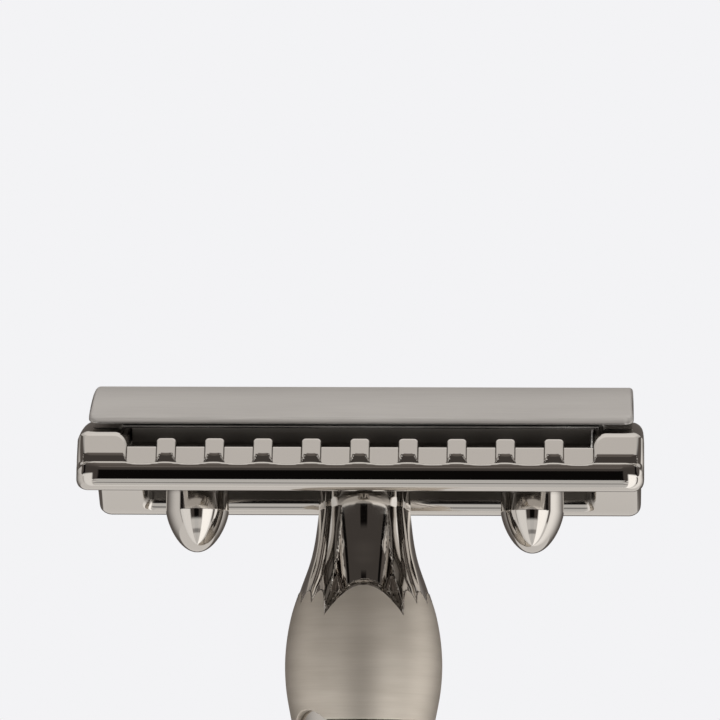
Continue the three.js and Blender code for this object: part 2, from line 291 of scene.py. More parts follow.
def noise(made, scale, detail=3.0):
    """Noise in object coordinates, drawn out along the axes with a small scale."""
    nodes, links = made.node_tree.nodes, made.node_tree.links
    mapping = nodes.new("ShaderNodeMapping")
    mapping.inputs["Scale"].default_value = scale
    links.new(nodes.new("ShaderNodeTexCoord").outputs["Object"], mapping.inputs["Vector"])
    node = nodes.new("ShaderNodeTexNoise")
    node.inputs["Scale"].default_value = 1.0
    node.inputs["Detail"].default_value = detail
    links.new(mapping.outputs["Vector"], node.inputs["Vector"])
    return node.outputs["Fac"]


def spread(made, value, lowest, highest):
    """A noise's values spread over a range."""
    node = made.node_tree.nodes.new("ShaderNodeMapRange")
    node.inputs["From Min"].default_value = NOISE_LOW
    node.inputs["From Max"].default_value = NOISE_HIGH
    node.inputs["To Min"].default_value = lowest
    node.inputs["To Max"].default_value = highest
    made.node_tree.links.new(value, node.inputs["Value"])
    return node.outputs["Result"]


def tint(made, value, dark, light):
    """A noise's values spread between two colours."""
    ramp = made.node_tree.nodes.new("ShaderNodeValToRGB")
    ramp.color_ramp.elements[0].position = NOISE_LOW
    ramp.color_ramp.elements[1].position = NOISE_HIGH
    ramp.color_ramp.elements[0].color = (*dark, 1)
    ramp.color_ramp.elements[1].color = (*light, 1)
    made.node_tree.links.new(value, ramp.inputs["Fac"])
    return ramp.outputs["Color"]


def bump(made, value, height_mm):
    node = made.node_tree.nodes.new("ShaderNodeBump")
    node.inputs["Strength"].default_value = 1.0
    node.inputs["Distance"].default_value = height_mm * MM
    made.node_tree.links.new(value, node.inputs["Height"])
    return node.outputs["Normal"]


def feed(made, socket, value):
    made.node_tree.links.new(value, made.node_tree.nodes["Principled BSDF"].inputs[socket])


def polished(name, color, roughness):
    """Bright metal with faint smudges."""
    made = material(name, color, roughness)
    smudge = noise(made, SMUDGE_SCALE, 4)
    feed(made, "Roughness", spread(made, smudge, roughness * 0.7, roughness * 1.6))
    dark = tuple(c * 0.96 for c in color)
    feed(made, "Base Color", tint(made, noise(made, CLOUD_SCALE), dark, color))
    return made


def brushed(made, strength, axis):
    """Stretches highlights across the brushing, whose strokes lie about or along an axis."""
    nodes, links = made.node_tree.nodes, made.node_tree.links
    nodes["Principled BSDF"].inputs["Anisotropic"].default_value = strength
    tangent = nodes.new("ShaderNodeTangent")
    tangent.direction_type = "RADIAL"
    tangent.axis = axis
    links.new(tangent.outputs[0], nodes["Principled BSDF"].inputs["Tangent"])


def satin_along_x():
    """The cap's satin: strokes along its length."""
    made = material("satin_cap", (0.5, 0.485, 0.47), 0.4)
    brushed(made, 0.8, "X")
    strokes = noise(made, (220, 9000, 9000), 4)
    cloud = noise(made, (60, 260, 260), 3)
    feed(made, "Base Color", tint(made, cloud, (0.53, 0.512, 0.495), (0.58, 0.562, 0.543)))
    feed(made, "Roughness", spread(made, strokes, 0.34, 0.46))
    feed(made, "Normal", bump(made, strokes, STROKE_HEIGHT))
    return made


def satin_round():
    """The handle's satin: strokes round it."""
    made = material("satin_handle", (0.5, 0.465, 0.41), 0.5)
    brushed(made, 0.5, "Z")
    made.node_tree.nodes["Principled BSDF"].inputs["Anisotropic Rotation"].default_value = 0.25
    strokes = noise(made, (260, 260, 9000), 4)
    bands = noise(made, (130, 130, 900), 3)
    feed(made, "Base Color", tint(made, bands, (0.73, 0.675, 0.6), (0.81, 0.755, 0.68)))
    feed(made, "Roughness", spread(made, strokes, 0.56, 0.66))
    feed(made, "Normal", bump(made, strokes, STROKE_HEIGHT))
    return made


class Formula:
    """Builds shader maths in a node tree."""

    def __init__(self, tree):
        self.tree = tree

    def math(self, operation, *values):
        node = self.tree.nodes.new("ShaderNodeMath")
        node.operation = operation
        for socket, value in zip(node.inputs, values):
            if isinstance(value, (int, float)):
                socket.default_value = value
            else:
                self.tree.links.new(value, socket)
        return node.outputs[0]

    def ramp(self, value, start, end, low_value=0.0, high_value=1.0):
        """Eases from low_value at start to high_value at end."""
        node = self.tree.nodes.new("ShaderNodeMapRange")
        node.interpolation_type = "SMOOTHSTEP"
        numbers = {"From Min": start, "From Max": end, "To Min": low_value, "To Max": high_value}
        for name, number in numbers.items():
            node.inputs[name].default_value = number
        self.tree.links.new(value, node.inputs["Value"])
        return node.outputs[0]

    def between(self, value, start, full, fading, end):
        """1 from full to fading, falling to 0 at start and end."""
        return self.math("MULTIPLY", self.ramp(value, start, full), self.ramp(value, fading, end, 1, 0))


# Painted shade: inside the plate between the bars, a dark colour stands in for the shade that falls in
# its hollows.
HOLLOW_FOOT = (0.5, 1.3)  # heights between which the darkening comes in
HOLLOW_DEPTH = (9.72, 9.82)
HOLLOW_LENGTH = (18.3, 18.5)


def paint_shade_and_roughen_hollows(made, color, roughness):
    """Paints shade into the plate's hollows between the bars as a dark colour, and leaves them
    unpolished with a higher roughness.
    """
    nodes, links = made.node_tree.nodes, made.node_tree.links
    f = Formula(made.node_tree)
    split = nodes.new("ShaderNodeSeparateXYZ")
    links.new(nodes.new("ShaderNodeTexCoord").outputs["Object"], split.inputs[0])
    across = f.math("ABSOLUTE", split.outputs["Y"])
    along = f.math("ABSOLUTE", split.outputs["X"])
    above = f.ramp(split.outputs["Z"], *((GUARD_Z + h) * MM for h in HOLLOW_FOOT))
    inside = f.math("MULTIPLY", above, f.ramp(across, *(d * MM for d in HOLLOW_DEPTH), 1, 0))
    inside = f.math("MULTIPLY", inside, f.ramp(along, *(d * MM for d in HOLLOW_LENGTH), 1, 0))
    for socket, value in (("Base Color", (*color, 1)), ("Roughness", (roughness,) * 3 + (1,))):
        mix = nodes.new("ShaderNodeMix")
        mix.data_type = "RGBA"
        target = nodes["Principled BSDF"].inputs[socket]
        links.new(inside, mix.inputs["Factor"])
        links.new(target.links[0].from_socket, mix.inputs["A"])
        mix.inputs["B"].default_value = value
        links.new(mix.outputs["Result"], target)


GUNMETAL = (0.6, 0.572, 0.54)
# The dark colour of the plate's hollows is painted shade, not the metal's own colour.
HOLLOW_PAINTED_SHADE = (0.2, 0.185, 0.17)
HEAD_METAL = polished("polished_head", GUNMETAL, 0.05)
paint_shade_and_roughen_hollows(HEAD_METAL, HOLLOW_PAINTED_SHADE, 0.35)
NECK_METAL = polished("polished_neck", tuple(c * 0.95 for c in GUNMETAL), 0.045)
CAP_METAL = satin_along_x()
HANDLE_METAL = satin_round()
BLADE_STEEL = polished("blade_steel", (0.74, 0.74, 0.73), 0.18)
PLAIN_STEEL = polished("plain_steel", (0.58, 0.575, 0.57), 0.28)

# ---- cap ----
BLADE_CROWN = 7.2
BLADE_RADIUS = 25.5
BLADE_THICKNESS = 0.1
REST_GAP = 0.06
CAP_EDGE_TOP = 5.7
CAP_RISE = HEAD_HEIGHT - CAP_EDGE_TOP
CAP_RADIUS = (CAP_HALF_WIDTH ** 2 + CAP_RISE ** 2) / (2 * CAP_RISE)
UNDER_CAP = BLADE_THICKNESS / 2 + REST_GAP
CAP_CORNER = 0.9
CAP_RIM = 0.3


def cap_field(x, y, z):
    top = under_arch(y, z, HEAD_HEIGHT, CAP_RADIUS)
    over_blade = -under_arch(y, z, BLADE_CROWN + UNDER_CAP, BLADE_RADIUS + UNDER_CAP)
    plan = round_rectangle(x, y, CAP_HALF_LENGTH, CAP_HALF_WIDTH, CAP_CORNER)
    return round_and(round_and(top, plan, CAP_RIM), over_blade, SMALL_EDGE)


def make_cap():
    xs = both_ways(grid_line([(0, 0.6), (20.1, 0.1), (CAP_HALF_LENGTH + 0.2, 0.1)]))
    ys = both_ways(grid_line([(0, 0.25), (9, 0.08), (CAP_HALF_WIDTH + 0.2, 0.1)]))
    zs = grid_line([(4.9, 0.08), (6.6, 0.12), (HEAD_HEIGHT + 0.3, 0.1)])
    cap = cast("cap_arched", cap_field, xs, ys, zs, CAP_METAL, "cap")
    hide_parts("cap_plate")


# ---- base plate ----
PLATE_CROWN = 6.42
PLATE_RADIUS = 31
UNDERSIDE_CROWN = 3.5
UNDERSIDE_RADIUS = 17.2
PLAN_CORNER = 2.6
PLAN_OUTSET = 1  # keeps the plan's long sides clear of the round bars
RAISED_TO = 5  # the boss and the lugs end inside the plate, at this height

TEETH = 9
OUTER_TOOTH = (TEETH - 1) // 2
TOOTH_PITCH = 3.79
TOOTH_WIDTH = 1.57
TOOTH_TOP = 4.2
TOOTH_CORNER = 0.34
COMB_HALF = ((TEETH + 1) * TOOTH_PITCH - TOOTH_WIDTH) / 2
NOTCH_TOP = 3.5
GAP_SETBACK = 0.14
BLOCK_CORNER = 1.1

FACE_TILT = math.radians(22)
FACE_FOOT = (11.12, 2.88)
TOOTH_FACE_EDGE = 0.16
BLOCK_FACE_EDGE = 0.28
FOOT_LEAN = 0.09
FOOT_HALF = 0.46
FOOT_BULGE = 18
FOOT_SPREAD = 0.5
BLOCK_FOOT_INSET = 0.35
BLOCK_FOOT_END = 21.5

BAR_TOP = 2.2
BAR_WAVE = 0.15
BAR_FACE = (9.5, 1.4)
BAR_FACE_RADIUS = 2.5
BAR_UNDER = (10.93, 1.016)
BAR_TURN = math.tan(math.radians(15))
BAR_JOIN = 1.0

WALL_LEAN = math.tan(math.radians(6))
WALL_MIDDLE = 5.5
CHANNEL = (8.1, 10.2)
CHANNEL_FLOOR = 2.7
SEAT_SUNK = 0.3
SEAT_SIDE_GAP = 0.1
POCKET_HALF = (18.3, 9.75)
POCKET_CORNER = 0.7
POCKET_FOOT = 2.05
ROOF_CROWN = 4.6
ROOF_RADIUS = 30
ROOF_HALF = 7.6
BOSS_RADIUS = 4.6
POST_CLEARANCE = 0.15
POST_BORE_EXTRA = 0.3

LUG_RADIUS = 2.52
LUG_SHOULDER = -0.7
LUG_FULLNESS = 1.4
LUG_REACH = 1.4  # how far past its tip a lug's field is worked out, in lug lengths
LUG_SOFTENING = 0.05


def lug_field(x, y, z):
    """A bullet-shaped lug below each post."""
    across = np.hypot(np.abs(x) - POST_X, y)
    length = LUG_SHOULDER - LUG_TIP
    left = np.clip((LUG_SHOULDER - z) / length, 0, LUG_REACH)
    value = across ** 2 - LUG_RADIUS ** 2 * (1 - left ** LUG_FULLNESS)
    down = LUG_RADIUS ** 2 * LUG_FULLNESS * left ** (LUG_FULLNESS - 1) / length
    return value / np.sqrt(4 * across ** 2 + down ** 2 + LUG_SOFTENING)


def bar_field(x, ay, z):
    """A round-fronted bar: a wide arc for its face, running into a tight one underneath."""
    face = np.hypot(ay - BAR_FACE[0], z - BAR_FACE[1]) - BAR_FACE_RADIUS
    under = np.hypot(ay - BAR_UNDER[0], z - BAR_UNDER[1]) - BAR_UNDER[1]
    turned_under = (ay > BAR_UNDER[0]) & (BAR_UNDER[1] - z > BAR_TURN * (ay - BAR_UNDER[0]))
    bar = np.where(turned_under, under, np.maximum(face, -z))
    dip = 0.5 - 0.5 * np.cos(2 * np.pi * x / TOOTH_PITCH)
    dip = dip * np.clip((COMB_HALF + 0.3 - np.abs(x)) / 0.6, 0, 1)
    return round_and(bar, z - BAR_TOP + BAR_WAVE * dip, SMALL_EDGE)


def tooth_foot(ax, ay, z, across):
    """What is cut away in front, under each tooth and under the end blocks."""
    below = FACE_FOOT[1] - z
    upright = ay - FACE_FOOT[0] + FOOT_LEAN * (z - FACE_FOOT[1])
    sides = FOOT_HALF + FOOT_SPREAD * below - across
    under_tooth = np.minimum(upright + across ** 2 / FOOT_BULGE, sides)
    block_side = ax - COMB_HALF - BLOCK_FOOT_INSET + FOOT_SPREAD * below
    under_block = np.minimum(np.minimum(block_side, BLOCK_FOOT_END - ax), upright)
    return np.maximum(under_tooth, under_block)


def guard_field(x, ay, z):
    """The plate's arch, its teeth and end blocks, and its bars, before the hollows are cut."""
    ax = np.abs(x)
    arch = under_arch(ay, z, PLATE_CROWN, PLATE_RADIUS)
    face = (ay - FACE_FOOT[0]) * math.cos(FACE_TILT) + (z - FACE_FOOT[1]) * math.sin(FACE_TILT)
    nearest_tooth = np.clip(np.round(x / TOOTH_PITCH), -OUTER_TOOTH, OUTER_TOOTH)
    across = np.abs(x - TOOTH_PITCH * nearest_tooth)

    tooth = round_and(z - TOOTH_TOP, across - TOOTH_WIDTH / 2, TOOTH_CORNER)
    tooth = round_and(tooth, face, TOOTH_FACE_EDGE)
    block = round_and(round_and(arch, COMB_HALF - ax, BLOCK_CORNER), face, BLOCK_FACE_EDGE)
    gap = round_and(round_and(arch, face + GAP_SETBACK, 0.2), z - NOTCH_TOP, 0.1)
    upper = np.minimum(np.minimum(tooth, block), gap)
    upper = round_and(upper, tooth_foot(ax, ay, z, across), 0.05)
    return round_or(np.maximum(upper, BAR_JOIN - z), bar_field(x, ay, z), 0.03)


def plate_field(x, y, z):
    """The whole base plate: hollowed, with its blade seat, boss, lugs and bores."""
    ax, ay = np.abs(x), np.abs(y)
    body = guard_field(x, ay, z)
    body = round_and(body, -under_arch(ay, z, UNDERSIDE_CROWN, UNDERSIDE_RADIUS), 0.4)
    plan = round_rectangle(x, y, PLATE_HALF_LENGTH, PLATE_HALF_DEPTH + PLAN_OUTSET, PLAN_CORNER)
    body = round_and(body, plan, 0.9)

    wall = ay - CHANNEL[0] - (z - WALL_MIDDLE) * WALL_LEAN
    channel = np.maximum(np.maximum(-wall, ay - CHANNEL[1]), CHANNEL_FLOOR - z)
    channel = np.maximum(channel, ax - COMB_HALF)
    over_platform = np.maximum(np.maximum(ay - CHANNEL[0], TOOTH_TOP - z), ax - COMB_HALF)
    body = round_and(body, -np.minimum(channel, over_platform), SMALL_EDGE)

    seat = under_arch(ay, z, BLADE_CROWN - UNDER_CAP, BLADE_RADIUS - UNDER_CAP)
    seat = np.maximum(seat, CHANNEL_FLOOR - SEAT_SUNK - z)
    sides = np.maximum(wall, ax - COMB_HALF + SEAT_SIDE_GAP)
    body = np.minimum(body, round_and(seat, sides, SMALL_EDGE))

    roof = np.maximum(under_arch(ay, z, ROOF_CROWN, ROOF_RADIUS), ay - ROOF_HALF)
    pocket_plan = round_rectangle(x, y, *POCKET_HALF, POCKET_CORNER)
    body = round_and(body, -np.maximum(pocket_plan, np.minimum(roof, z - POCKET_FOOT)), 0.6)

    from_axis = np.hypot(x, y)
    boss = round_and(from_axis - BOSS_RADIUS, NECK_TOP + REST_GAP - z, 0.15)
    body = round_or(body, np.maximum(boss, z - RAISED_TO), 0.3)
    body = round_or(body, np.maximum(lug_field(x, y, z), z - RAISED_TO), 0.4)
    stud_bore = from_axis - STUD_RADIUS - STUD_CLEARANCE
    post_side = np.hypot(ax - POST_X, y) - POST_RADIUS - POST_CLEARANCE
    post_bore = np.maximum(post_side, POST_TIP - POST_BORE_EXTRA - z)
    return round_and(body, -np.minimum(stud_bore, post_bore), SMALL_EDGE)


COMB_COARSE = 0.2
COMB_FINE = 0.05
COMB_MEDIUM = 0.1
END_SPACING = 0.08
END_START = 20.8
LEAST_SPACING = 0.03


def comb_line():
    """X coordinates, close together beside each tooth and at the rounded ends."""
    line = [np.arange(0, PLATE_HALF_LENGTH + 0.3, COMB_COARSE)]
    for tooth in range(OUTER_TOOTH + 2):
        for side in (-1, 1):
            edge = tooth * TOOTH_PITCH + side * TOOTH_WIDTH / 2
            line.append(edge + np.arange(-0.2, 0.21, COMB_FINE))
    line.append(np.arange(COMB_HALF, COMB_HALF + 1.1, COMB_MEDIUM))
    line.append(np.arange(END_START, PLATE_HALF_LENGTH + 0.2, END_SPACING))
    xs = np.unique(np.round(np.concatenate(line), 3))
    xs = xs[(xs >= 0) & (xs < PLATE_HALF_LENGTH + 0.25)]
    keep = np.concatenate([[True], np.diff(xs) > LEAST_SPACING])
    return both_ways(xs[keep])


def make_base_plate():
    ys = both_ways(grid_line([(0, 0.28), (7.8, 0.1), (8.4, 0.2), (9.4, 0.07), (12.1, 0.07)]))
    zs = grid_line([
        (LUG_TIP - 0.2, 0.12), (-0.2, 0.09), (1.9, 0.06), (3, 0.08), (4.9, 0.12), (7.5, 0.1),
    ])
    plate = cast("guard_plate", plate_field, comb_line(), ys, zs, HEAD_METAL, "guard")
    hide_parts("base_plate")


# ---- neck and bulb ----
FLARE = [
    (BULB_FOOT - 0.3, 5.7), (BULB_FOOT, 5.76), (-14.75, 6.18), (-12.8, 6.27), (-10.4, 6.06),
    (-8.95, 5.77), (-7.0, 5.15), (-4.6, 4.33), (-1.2, 3.77), (1.0, 3.62), (NECK_TOP, 3.62),
]


def smooth_curve(knots):
    """A cubic through (z, radius) knots, its slopes taken from the knots on either side."""
    z = np.array([k[0] for k in knots])
    r = np.array([k[1] for k in knots])
    slope = np.gradient(r, z)

    def at(height):
        height = np.clip(height, z[0], z[-1])
        i = np.clip(np.searchsorted(z, height, side="right") - 1, 0, len(z) - 2)
        span = z[i + 1] - z[i]
        t = (height - z[i]) / span
        return (
            (2 * t ** 3 - 3 * t ** 2 + 1) * r[i] + (t ** 3 - 2 * t ** 2 + t) * span * slope[i]
            + (-2 * t ** 3 + 3 * t ** 2) * r[i + 1] + (t ** 3 - t ** 2) * span * slope[i + 1]
        )
    return at


flare = smooth_curve(FLARE)
COLUMN_FRONT = smooth_curve([
    (-9.5, 4.07), (-6.2, 4.07), (-5.4, 4.02), (-4.4, 3.9), (-3.0, 3.73), (-2.0, 3.655),
    (-1.0, 3.625), (0.2, 3.64), (NECK_TOP, 3.6),
])
COLUMN_CURVE = smooth_curve([
    (-9.5, 2.6), (-5.9, 2.65), (-5.4, 2.75), (-4.4, 2.95), (-3.0, 3.2), (-2.0, 3.4),
    (-1.0, 3.6), (NECK_TOP, 3.6),
])
WINDOW_HALF = smooth_curve([
    (-9.5, 3.2), (-8.4, 3.02), (-7.4, 2.72), (-6.6, 2.5), (-5.4, 2.3), (-3.3, 2.04), (-2, 1.9),
    (NECK_TOP, 1.8),
])
HANDLE_TURN = math.radians(2.1)  # the wide petals face this far round from the front and back
WIDE_HALF = math.radians(32.6)
NARROW_COUNT = 7
NARROW = (math.pi - 2 * WIDE_HALF) / NARROW_COUNT
WIDE_APEX = -6.9
NARROW_APEX = -7.25
WIDE_SPIKE = -9.32
NARROW_SPIKE = -8.3
PETAL_POWER = 2.1
POINTS_PER_DEGREE = 4
LEAST_POINTS = 24
ANGLE_STEP = 1e-3

BEVEL = 0.22
BEVEL_SLOPE = 0.9
DEEP_SLOPE = 2.1
RIM_SHARE = 0.5
LEAST_LEAN = 0.35
NARROW_STEP = 0.06
NECK_FOOT = -9.6
NECK_EDGE = 0.3
THREAD_FOOT = -4.5

SKIRT_FOOT = BULB_FOOT - 0.28
SKIRT_LIP = 0.12
NOTCHES = (math.radians(-50), math.radians(130))
NOTCH_HALF = math.radians(18)
NOTCH_HEIGHT = 0.75
COLLAR_RADIUS = 5.3
COLLAR_TOP = BULB_FOOT + 0.7
COLLAR_RECESS_RADIUS = COLLAR_RADIUS + 0.05
COLLAR_RECESS_TOP = BULB_FOOT + 1.5
SPIGOT_BORE = 4.4
ROD_BORE = 2.1
BULB_RINGS = 60
BULB_SHARP = 38


def petal_angles():
    """Angles round the handle from the front, crowded together beside the petals' spikes."""
    angles = []
    for middle in (0, math.pi):
        halves = [WIDE_HALF] + [NARROW / 2] * NARROW_COUNT
        start = middle - WIDE_HALF
        for half in halves:
            count = max(LEAST_POINTS, int(math.degrees(POINTS_PER_DEGREE * half)))
            t = np.sin(np.linspace(-math.pi / 2, math.pi / 2, count, endpoint=False))
            angles.append(start + half + t * half)
            start += 2 * half
    return np.concatenate(angles)


def petal_at(angle):
    """The height of the petals' edge at an angle."""
    turned_half = (angle + WIDE_HALF) % math.pi - WIDE_HALF
    wide = turned_half < WIDE_HALF
    number = np.clip(np.floor((turned_half - WIDE_HALF) / NARROW), 0, NARROW_COUNT - 1)
    half = np.where(wide, WIDE_HALF, NARROW / 2)
    centre = np.where(wide, 0, WIDE_HALF + NARROW * (number + 0.5))
    t = (turned_half - centre) / half
    beside_wide = ((number == 0) & (t < 0)) | ((number == NARROW_COUNT - 1) & (t > 0))
    spike = np.where(wide | beside_wide, WIDE_SPIKE, NARROW_SPIKE)
    apex = np.where(wide, WIDE_APEX, NARROW_APEX)
    return apex + (spike - apex) * np.abs(t) ** PETAL_POWER


def edge_lean(angle):
    """How upright the petals' edge is: 1 where it runs level."""
    rise = (petal_at(angle + ANGLE_STEP) - petal_at(angle - ANGLE_STEP)) / (2 * ANGLE_STEP)
    rise = rise / flare(petal_at(angle))
    return np.maximum(1 / np.sqrt(1 + rise ** 2), LEAST_LEAN)


def ring_at(radius, angle, z):
    """Points round the handle; angle 0 faces the front, -Y."""
    turned_angle = angle + HANDLE_TURN
    radius = np.broadcast_to(radius, angle.shape)
    z = np.broadcast_to(z, angle.shape)
    return np.stack([radius * np.sin(turned_angle), -radius * np.cos(turned_angle), z], axis=1)


def neck_field(x, y, z):
    """The polished neck: the flare, let in below the petals' edge, deeply in the two windows."""
    cos, sin = math.cos(HANDLE_TURN), math.sin(HANDLE_TURN)
    x, y = x * cos + y * sin, y * cos - x * sin
    ax, ay = np.abs(x), np.abs(y)
    r = np.hypot(x, y)
    angle = np.arctan2(x, -y)
    distance = np.abs((z - petal_at(angle)) * edge_lean(angle))
    deeper = BEVEL_SLOPE * BEVEL + DEEP_SLOPE * (distance - BEVEL)
    let_in = np.where(distance < BEVEL, BEVEL_SLOPE * distance, deeper)
    outside = flare(z)
    rim = (r - outside + let_in) * RIM_SHARE
    column = np.hypot(ax, ay - (COLUMN_FRONT(z) - COLUMN_CURVE(z))) - COLUMN_CURVE(z)
    beside = WINDOW_HALF(z) - ax
    narrow = r - outside + NARROW_STEP
    body = np.minimum(np.minimum(column, rim), np.maximum(beside, narrow))
    body = np.maximum(body, r - outside)
    body = round_and(body, z - NECK_TOP, NECK_EDGE)
    body = np.maximum(body, NECK_FOOT - z)
    bore = np.maximum(r - STUD_RADIUS - STUD_CLEARANCE, THREAD_FOOT - z)
    return np.maximum(body, -bore)


def flare_normals(angle, z):
    """Normals of the flare at angles and heights."""
    rise = ANGLE_STEP * 5
    slope = (flare(z + rise) - flare(z - rise)) / (2 * rise)
    a = angle + HANDLE_TURN
    out = np.stack([np.sin(a), -np.cos(a), np.zeros_like(a)], axis=1)
    normal = out - slope[:, None] * np.array([0, 0, 1.0])
    return normal / np.linalg.norm(normal, axis=1)[:, None]


def foot_edge(angle):
    """The height of the bulb's lower edge, with a shallow notch on each side of the handle."""
    height = np.full(angle.shape, SKIRT_FOOT)
    for notch in NOTCHES:
        away = (angle - notch + math.pi) % (2 * math.pi) - math.pi
        height = np.maximum(height, SKIRT_FOOT + NOTCH_HEIGHT * (1 - (away / NOTCH_HALF) ** 2))
    return height


def make_neck():
    line = both_ways(grid_line([(0, 0.1), (4.6, 0.12), (6.2, 0.12)]))
    zs = grid_line([(NECK_FOOT - 0.2, 0.1), (-6.5, 0.14), (2.8, 0.08), (NECK_TOP + 0.2, 0.08)])
    neck = cast("neck_polished", neck_field, line, line, zs, NECK_METAL, "handle")
    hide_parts("neck")


def make_bulb():
    """The bulb's skin from its notched foot up to the petals' edge, closed by rings inside it."""
    angle = petal_angles()
    edge = petal_at(angle)
    foot = foot_edge(angle)
    skin_foot = foot + SKIRT_LIP
    tall = edge - foot - SKIRT_LIP
    heights = [skin_foot + tall * t for t in np.linspace(0, 1, BULB_RINGS)]
    rings = [ring_at(flare(z), angle, z) for z in heights]
    normals = [flare_normals(angle, z) for z in heights]

    spigot_seat = SPIGOT_FOOT - 0.1
    hidden = [(SPIGOT_BORE, edge - 0.3), (SPIGOT_BORE, spigot_seat), (ROD_BORE, spigot_seat)]
    hidden += [(ROD_BORE, COLLAR_RECESS_TOP), (COLLAR_RECESS_RADIUS, COLLAR_RECESS_TOP)]
    hidden += [(COLLAR_RECESS_RADIUS, foot)]
    for r, z in arc_points((0, SKIRT_LIP), SKIRT_LIP, -90, -15, 5):
        hidden.append((flare(skin_foot) + r - SKIRT_LIP, foot + z))
    for radius, z in hidden:
        rings.append(ring_at(radius, angle, z))
        normals.append(np.zeros((len(angle), 3)))

    faces = tube_faces(len(rings), len(angle))
    bulb = new_mesh("bulb_petals", np.concatenate(rings), faces, HANDLE_METAL, "handle")
    smooth(bulb, BULB_SHARP)
    bulb.data.normals_split_custom_set_from_vertices(np.concatenate(normals).tolist())
    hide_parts("bulb")


# ---- the handle below the bulb ----
RING_EDGE = 0.14
RING_RIM = 0.34
RING_WAIST = 4.75
RING_FULLNESS = 0.9


def make_ring(node, collar_top=None):
    """A short polished ring with a hollow, coved rim, and a collar on top where one is asked for."""
    foot, top = low(node)[2], high(node)[2]
    radius = high(node)[0]
    side = [(radius - RING_EDGE, foot), (radius, foot + RING_EDGE), (radius, foot + RING_RIM)]
    for t in np.linspace(0, 1, 25)[1:-1]:
        z = foot + RING_RIM + (top - foot - 2 * RING_RIM) * t
        side.append((radius - (radius - RING_WAIST) * math.sin(math.pi * t) ** RING_FULLNESS, z))
    side += [(radius, top - RING_RIM), (radius, top - RING_EDGE), (radius - RING_EDGE, top)]
    if collar_top is not None:
        side = side[:-2] + [(radius, collar_top - RING_EDGE), (radius - RING_EDGE, collar_top)]
    profile = [(ROD_BORE, foot)] + side + [(ROD_BORE, side[-1][1])]
    ring = turned(node + "_coved", profile, NECK_METAL, "handle", around=160)
    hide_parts(node)


def make_grip():
    """The long grip, slightly swollen in the middle."""
    foot, top = low("grip")[2], high("grip")[2]
    taper, end = 8, 0.25
    line = smooth_curve([
        (foot, 5.35), (foot + taper, 5.85), ((foot + top) / 2, 6.15), (top - taper, 5.95), (top, 5.5),
    ])
    side = arc_points((line(foot + end) - end, foot + end), end, -90, 0, 7)
    side += [(line(z), z) for z in np.linspace(foot + end, top - end, 64)[1:-1]]
    side += arc_points((line(top - end) - end, top - end), end, 0, 90, 7)
    profile = [(ROD_BORE, foot)] + side + [(ROD_BORE, top)]
    grip = turned("grip_satin", profile, HANDLE_METAL, "handle")
    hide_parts("grip")


def make_pommel():
    """The handle's end, with the recess that the foot disc closes."""
    foot, top = low("pommel")[2], high("pommel")[2]
    face, recess, recess_top = 6.1, 4.6, 6.2
    lip, shoulder = 0.18, 0.3
    line = smooth_curve([
        (foot, 6.36), (foot + 0.6, 6.5), (4, 6.85), (7.2, 6.8), (top - 2.4, 6.1), (top, 5.4),
    ])
    side = [(face, foot), (6.28, foot + 0.08), (6.42, foot + 0.27)]
    side += [(line(z), z) for z in np.linspace(foot + 0.45, top - shoulder, 40)]
    side += arc_points((line(top - shoulder) - shoulder, top - shoulder), shoulder, 15, 90, 6)
    profile = [(recess, foot + lip), (recess + lip * 0.3, foot + lip * 0.3), (recess + lip, foot)]
    profile += side + [(ROD_BORE, top), (ROD_BORE, recess_top), (recess, recess_top)]
    pommel = turned("pommel_satin", profile, HANDLE_METAL, "handle")
    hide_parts("pommel")


def make_foot_disc():
    """The polished disc that closes the recess, slightly dished underneath."""
    radius, top = high("foot_disc")[0], high("foot_disc")[2]
    dish, dish_radius, edge = 0.16, 3.7, 0.2
    profile = [(0, dish)]
    profile += [(r, dish * (1 - (r / dish_radius) ** 2)) for r in np.linspace(0.3, dish_radius, 14)]
    profile += arc_points((radius - edge, edge), edge, -90, 0, 7)
    profile += arc_points((radius - edge, top - edge), edge, 0, 90, 7) + [(0, top)]
    disc = turned("foot_disc_dished", profile, NECK_METAL, "handle", around=128)
    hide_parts("foot_disc")


# ---- the cap's stud and posts ----
THREAD_PITCH = 0.8
THREAD_DEPTH = 0.42
THREAD_TOP = 3.3
THREAD_AROUND = 72
THREAD_RINGS = 14  # to each turn of the thread
CREST_SHARE = 1.25  # cuts the thread's crests and roots flat
STUD_CHAMFER = 0.5
STUD_END_RADIUS = 0.3


def ring_round(radius, turn, z):
    """A ring of points about the axis."""
    return np.stack([radius * np.cos(turn), radius * np.sin(turn), 0 * turn + z], axis=1)


def make_stud():
    """The screwed stud: a right-hand helical thread up to a plain shank."""
    turn = np.arange(THREAD_AROUND) * 2 * math.pi / THREAD_AROUND
    threaded = np.arange(STUD_TIP, THREAD_TOP + 0.4, THREAD_PITCH / THREAD_RINGS)
    rings = [ring_round(STUD_END_RADIUS, turn, STUD_TIP)]
    for z in np.append(threaded, [STUD_SEAT]):
        wave = np.abs(((z / THREAD_PITCH - turn / (2 * math.pi)) % 1) * 2 - 1)
        cut = THREAD_DEPTH * np.clip(wave * CREST_SHARE - (CREST_SHARE - 1) / 2, 0, 1)
        cut = cut * np.clip((THREAD_TOP + 0.3 - z) / 0.4, 0, 1)
        point = min(1, (z - STUD_TIP) / STUD_CHAMFER)
        radius = np.minimum(STUD_RADIUS - cut, STUD_RADIUS - STUD_CHAMFER * (1 - point))
        rings.append(ring_round(radius, turn, z))
    rings.append(ring_round(STUD_END_RADIUS, turn, STUD_SEAT))
    faces = tube_faces(len(rings), THREAD_AROUND)
    stud = new_mesh("stud_threaded", np.concatenate(rings), faces, PLAIN_STEEL, "cap")
    smooth(stud, 50)
    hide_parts("cap_stud")


